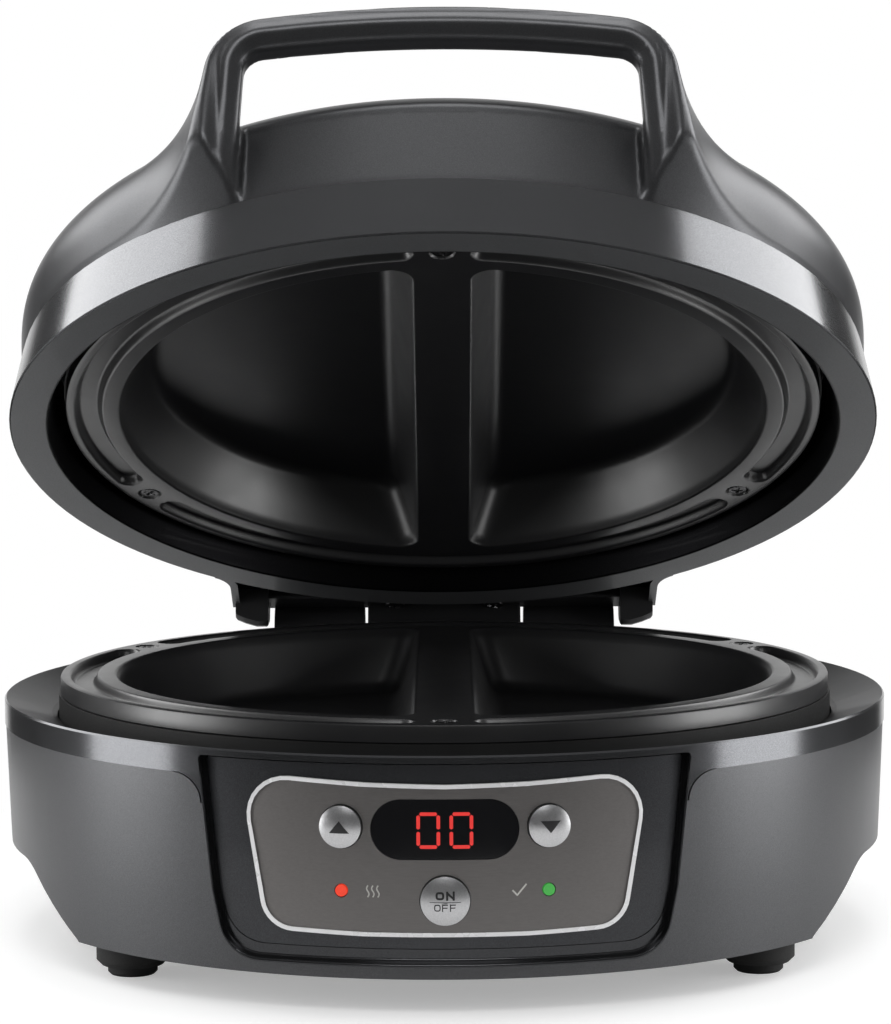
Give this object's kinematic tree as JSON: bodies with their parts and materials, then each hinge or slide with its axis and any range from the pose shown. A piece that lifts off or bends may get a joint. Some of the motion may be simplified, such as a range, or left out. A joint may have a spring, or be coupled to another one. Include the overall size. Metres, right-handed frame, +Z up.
{
  "type": "electric omelette maker",
  "caption": "Round countertop omelette maker with a hinged domed lid, split half-moon cooking plates, an arched lid handle and a recessed digital control panel.",
  "frame": {"origin": "on the table, at the centre of the outline's bounding box seen from above", "axes": "+Z up, +X to the right when facing the control panel, +Y from the control panel at the front to the hinge at the back"},
  "size_m": [0.26, 0.288, 0.27],
  "materials": {
    "shell_paint": "satin metallic grey",
    "band_gloss": "glossy gunmetal",
    "panel_dark": "satin dark grey",
    "fascia_metal": "brushed warm grey",
    "trim_chrome": "bright chrome",
    "button_silver": "satin silver",
    "display_glass": "smoked clear window",
    "display_body": "black display module",
    "lamp_red": "red lens",
    "lamp_green": "green lens",
    "nonstick": "black non-stick coating on cast aluminium",
    "ring_black": "black heat-proof ring",
    "reflector_metal": "bright rolled sheet",
    "element_steel": "tube element",
    "sensor_brass": "sensor body",
    "screw_black": "black oxide",
    "screw_steel": "zinc plated",
    "board_green": "circuit board",
    "electronics": "electronic parts",
    "cover_black": "black moulded plastic",
    "hinge_black": "black moulded plastic",
    "foot_rubber": "black rubber"
  },
  "bodies": {
    "base": {"base_shell": "shell_paint", "top_housing": "band_gloss", "front_bezel": "band_gloss", "front_panel": "panel_dark", "fascia_plate": "fascia_metal", "fascia_trim": "trim_chrome", "display_window": "display_glass", "display_module": "display_body", "heating_lamp": "lamp_red", "ready_lamp": "lamp_green", "control_board": "board_green", "tact_switches": "electronics", "power_board": "board_green", "power_parts": "electronics", "heat_ring": "ring_black", "lower_reflector": "reflector_metal", "lower_plate": "nonstick", "lower_element": "element_steel", "lower_sensor": "sensor_brass", "lower_plate_screws": "screw_black", "bottom_cover": "cover_black", "feet": "foot_rubber", "bottom_screws": "screw_steel", "hinge_base": "hinge_black", "hinge_pin": "screw_steel", "hinge_screws": "screw_steel", "cord_gland": "cover_black"},
    "up_button": {"up_button": "button_silver"},
    "down_button": {"down_button": "button_silver"},
    "start_button": {"start_button": "button_silver"},
    "lid": {"lid_cover": "shell_paint", "lid_band": "band_gloss", "hinge_bracket": "hinge_black", "bracket_screws": "screw_black", "upper_plate": "nonstick", "upper_heat_ring": "ring_black", "upper_reflector": "reflector_metal", "upper_element": "element_steel", "thermal_fuse": "electronics", "upper_plate_screws": "screw_black"}
  },
  "joints": [
    {"name": "lid_hinge", "type": "hinge", "parent": "base", "child": "lid", "pos_m": [0, 0.1335, 0.0675], "axis": [-1, 0, 0], "range_deg": [-29.6, 70.4]},
    {"name": "up_press", "type": "slide", "parent": "base", "child": "up_button", "axis": [0.2173, 0.9761, 0], "range_m": [0, 0.0012], "stiffness_N_per_m": 900, "springref_m": -0.0008},
    {"name": "down_press", "type": "slide", "parent": "base", "child": "down_button", "axis": [-0.2173, 0.9761, 0], "range_m": [0, 0.0012], "stiffness_N_per_m": 900, "springref_m": -0.0008},
    {"name": "start_press", "type": "slide", "parent": "base", "child": "start_button", "axis": [0, 1, 0], "range_m": [0, 0.0012], "stiffness_N_per_m": 900, "springref_m": -0.0008}
  ]
}
